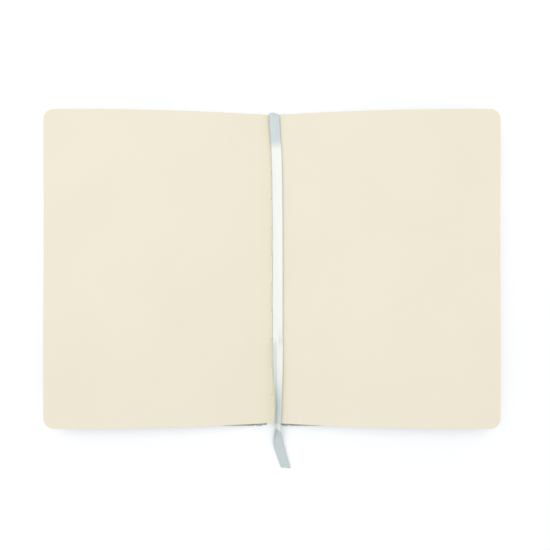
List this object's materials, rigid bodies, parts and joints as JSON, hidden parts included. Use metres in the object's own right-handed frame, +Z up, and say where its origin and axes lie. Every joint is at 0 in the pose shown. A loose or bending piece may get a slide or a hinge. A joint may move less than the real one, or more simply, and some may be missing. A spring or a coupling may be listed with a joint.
{
  "type": "sketchbook",
  "caption": "Casebound sketchbook lying open at a sewn section, with rounded ivory leaves, sage cloth covers and a ribbon marker down the gutter.",
  "frame": {"origin": "on the table, under the middle of the spine", "axes": "+X to the right across the open spread, +Y to the head of the pages, +Z up from the table"},
  "size_m": [0.3042, 0.2461, 0.0145],
  "materials": {
    "board": "matt grey board",
    "cover_cloth": "matt dusty sage cloth",
    "endpaper": "matt",
    "page": "matt ivory, uncoated",
    "paper_lining": "matt kraft",
    "gauze": "open weave",
    "thread": "waxed",
    "ribbon": "satin"
  },
  "bodies": {
    "book_block": {"spine_lining": "paper_lining", "mull": "gauze", "sewing_thread": "thread", "ribbon": "ribbon", "section_1_back": "page", "section_2_back": "page", "section_3_back": "page", "section_4_back": "page", "section_5_back": "page"},
    "case_spine": {"spine_strip": "board", "spine_cloth": "cover_cloth"},
    "front_cover": {"front_board": "board", "front_cloth": "cover_cloth", "front_pastedown": "endpaper", "front_flyleaf": "endpaper", "section_1_leaves": "page", "section_2_leaves": "page"},
    "back_cover": {"back_board": "board", "back_cloth": "cover_cloth", "back_pastedown": "endpaper", "back_flyleaf": "endpaper", "section_4_leaves": "page", "section_5_leaves": "page"},
    "left_leaf_1": {"left_leaf_1": "page"},
    "left_leaf_2": {"left_leaf_2": "page"},
    "left_leaf_3": {"left_leaf_3": "page"},
    "left_leaf_4": {"left_leaf_4": "page"},
    "right_leaf_1": {"right_leaf_1": "page"},
    "right_leaf_2": {"right_leaf_2": "page"},
    "right_leaf_3": {"right_leaf_3": "page"},
    "right_leaf_4": {"right_leaf_4": "page"}
  },
  "joints": [
    {"name": "hollow_back", "type": "slide", "parent": "book_block", "child": "case_spine", "axis": [0, 0, 1], "range_m": [0, 0.00065]},
    {"name": "front_cover_hinge", "type": "hinge", "parent": "book_block", "child": "front_cover", "pos_m": [-0.006, 0, 0.00035], "axis": [0, 1, 0], "range_deg": [0, 83], "deforming": ["section_1_back", "section_2_back", "section_3_back"]},
    {"name": "back_cover_hinge", "type": "hinge", "parent": "book_block", "child": "back_cover", "pos_m": [0.006, 0, 0.00035], "axis": [0, -1, 0], "range_deg": [0, 83], "deforming": ["section_4_back", "section_5_back", "ribbon"]},
    {"name": "left_leaf_1_turn", "type": "hinge", "parent": "front_cover", "child": "left_leaf_1", "pos_m": [0, 0, 0.00423], "axis": [0, -1, 0], "range_deg": [-158, 0]},
    {"name": "left_leaf_2_turn", "type": "hinge", "parent": "front_cover", "child": "left_leaf_2", "pos_m": [0, 0, 0.00423], "axis": [0, -1, 0], "range_deg": [-146.94, 0]},
    {"name": "left_leaf_3_turn", "type": "hinge", "parent": "front_cover", "child": "left_leaf_3", "pos_m": [0, 0, 0.00423], "axis": [0, -1, 0], "range_deg": [-135.88, 0]},
    {"name": "left_leaf_4_turn", "type": "hinge", "parent": "front_cover", "child": "left_leaf_4", "pos_m": [0, 0, 0.00423], "axis": [0, -1, 0], "range_deg": [-124.82, 0]},
    {"name": "right_leaf_1_turn", "type": "hinge", "parent": "back_cover", "child": "right_leaf_1", "pos_m": [0, 0, 0.00423], "axis": [0, 1, 0], "range_deg": [-158, 0]},
    {"name": "right_leaf_2_turn", "type": "hinge", "parent": "back_cover", "child": "right_leaf_2", "pos_m": [0, 0, 0.00423], "axis": [0, 1, 0], "range_deg": [-146.94, 0]},
    {"name": "right_leaf_3_turn", "type": "hinge", "parent": "back_cover", "child": "right_leaf_3", "pos_m": [0, 0, 0.00423], "axis": [0, 1, 0], "range_deg": [-135.88, 0]},
    {"name": "right_leaf_4_turn", "type": "hinge", "parent": "back_cover", "child": "right_leaf_4", "pos_m": [0, 0, 0.00423], "axis": [0, 1, 0], "range_deg": [-124.82, 0]}
  ],
  "couplings": [
    {"joint": "left_leaf_2_turn", "follows": "left_leaf_1_turn", "ratio": 0.93},
    {"joint": "left_leaf_3_turn", "follows": "left_leaf_1_turn", "ratio": 0.86},
    {"joint": "left_leaf_4_turn", "follows": "left_leaf_1_turn", "ratio": 0.79},
    {"joint": "right_leaf_2_turn", "follows": "right_leaf_1_turn", "ratio": 0.93},
    {"joint": "right_leaf_3_turn", "follows": "right_leaf_1_turn", "ratio": 0.86},
    {"joint": "right_leaf_4_turn", "follows": "right_leaf_1_turn", "ratio": 0.79}
  ]
}
